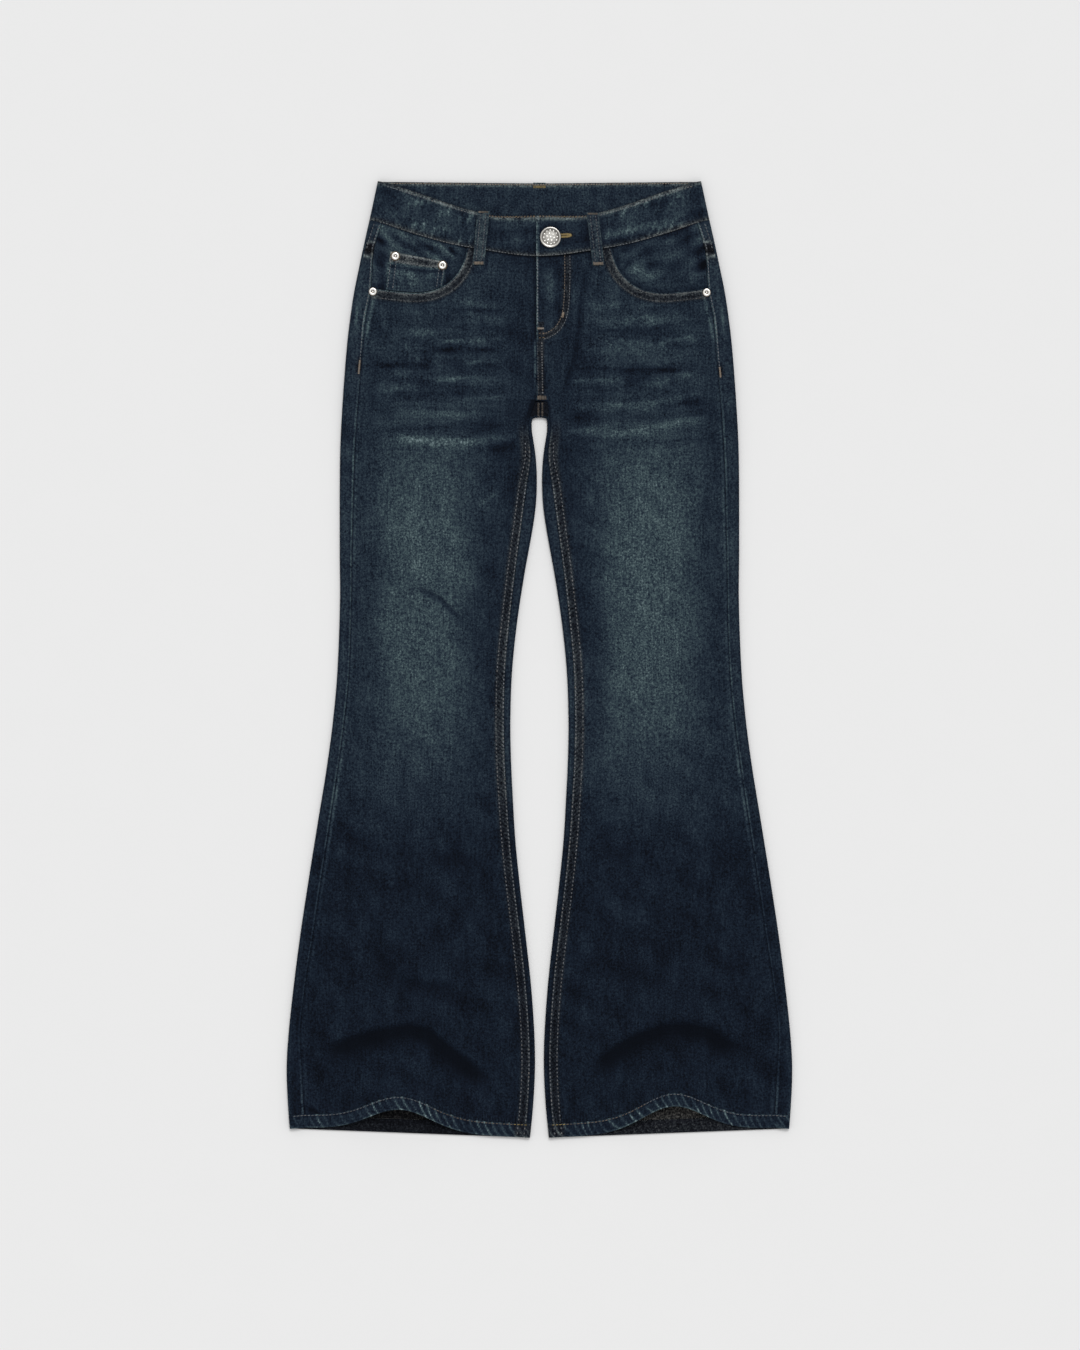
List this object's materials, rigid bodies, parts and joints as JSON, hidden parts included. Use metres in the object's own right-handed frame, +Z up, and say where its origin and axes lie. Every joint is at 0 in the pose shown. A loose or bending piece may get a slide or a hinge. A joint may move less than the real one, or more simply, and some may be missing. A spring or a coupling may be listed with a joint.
{
  "type": "flared jeans, laid flat",
  "caption": "Flared denim jeans laid flat on their back, front up and buttoned, with scoop pockets and lifted front hems.",
  "frame": {"origin": "on the surface that the jeans lie on, under the middle of their bounding box", "axes": "+Y from the hems to the waistband, +X across towards the overlapping half of the fly, +Z up out of the front"},
  "size_m": [0.5706, 1.0795, 0.0215],
  "materials": {
    "denim": "dark washed indigo twill, faded at the thighs",
    "thread": "worn tan sewing thread",
    "rivet_metal": "bright domed rivet",
    "button_metal": "worn silver with a low dotted relief"
  },
  "bodies": {
    "root": {"front_left": "denim", "front_right": "denim", "back_left": "denim", "back_right": "denim", "yoke_left": "denim", "yoke_right": "denim", "waistband": "denim", "pocket_facing_left": "denim", "pocket_facing_right": "denim", "coin_pocket": "denim", "back_pocket_left": "denim", "back_pocket_right": "denim", "hem_left": "denim", "hem_right": "denim", "belt_loop_front_left": "denim", "belt_loop_front_right": "denim", "belt_loop_back": "denim", "belt_loop_side_left": "denim", "belt_loop_side_right": "denim", "rivet_pocket_left": "rivet_metal", "rivet_pocket_right": "rivet_metal", "rivet_coin_outer": "rivet_metal", "rivet_coin_inner": "rivet_metal", "button": "button_metal"}
  },
  "joints": []
}
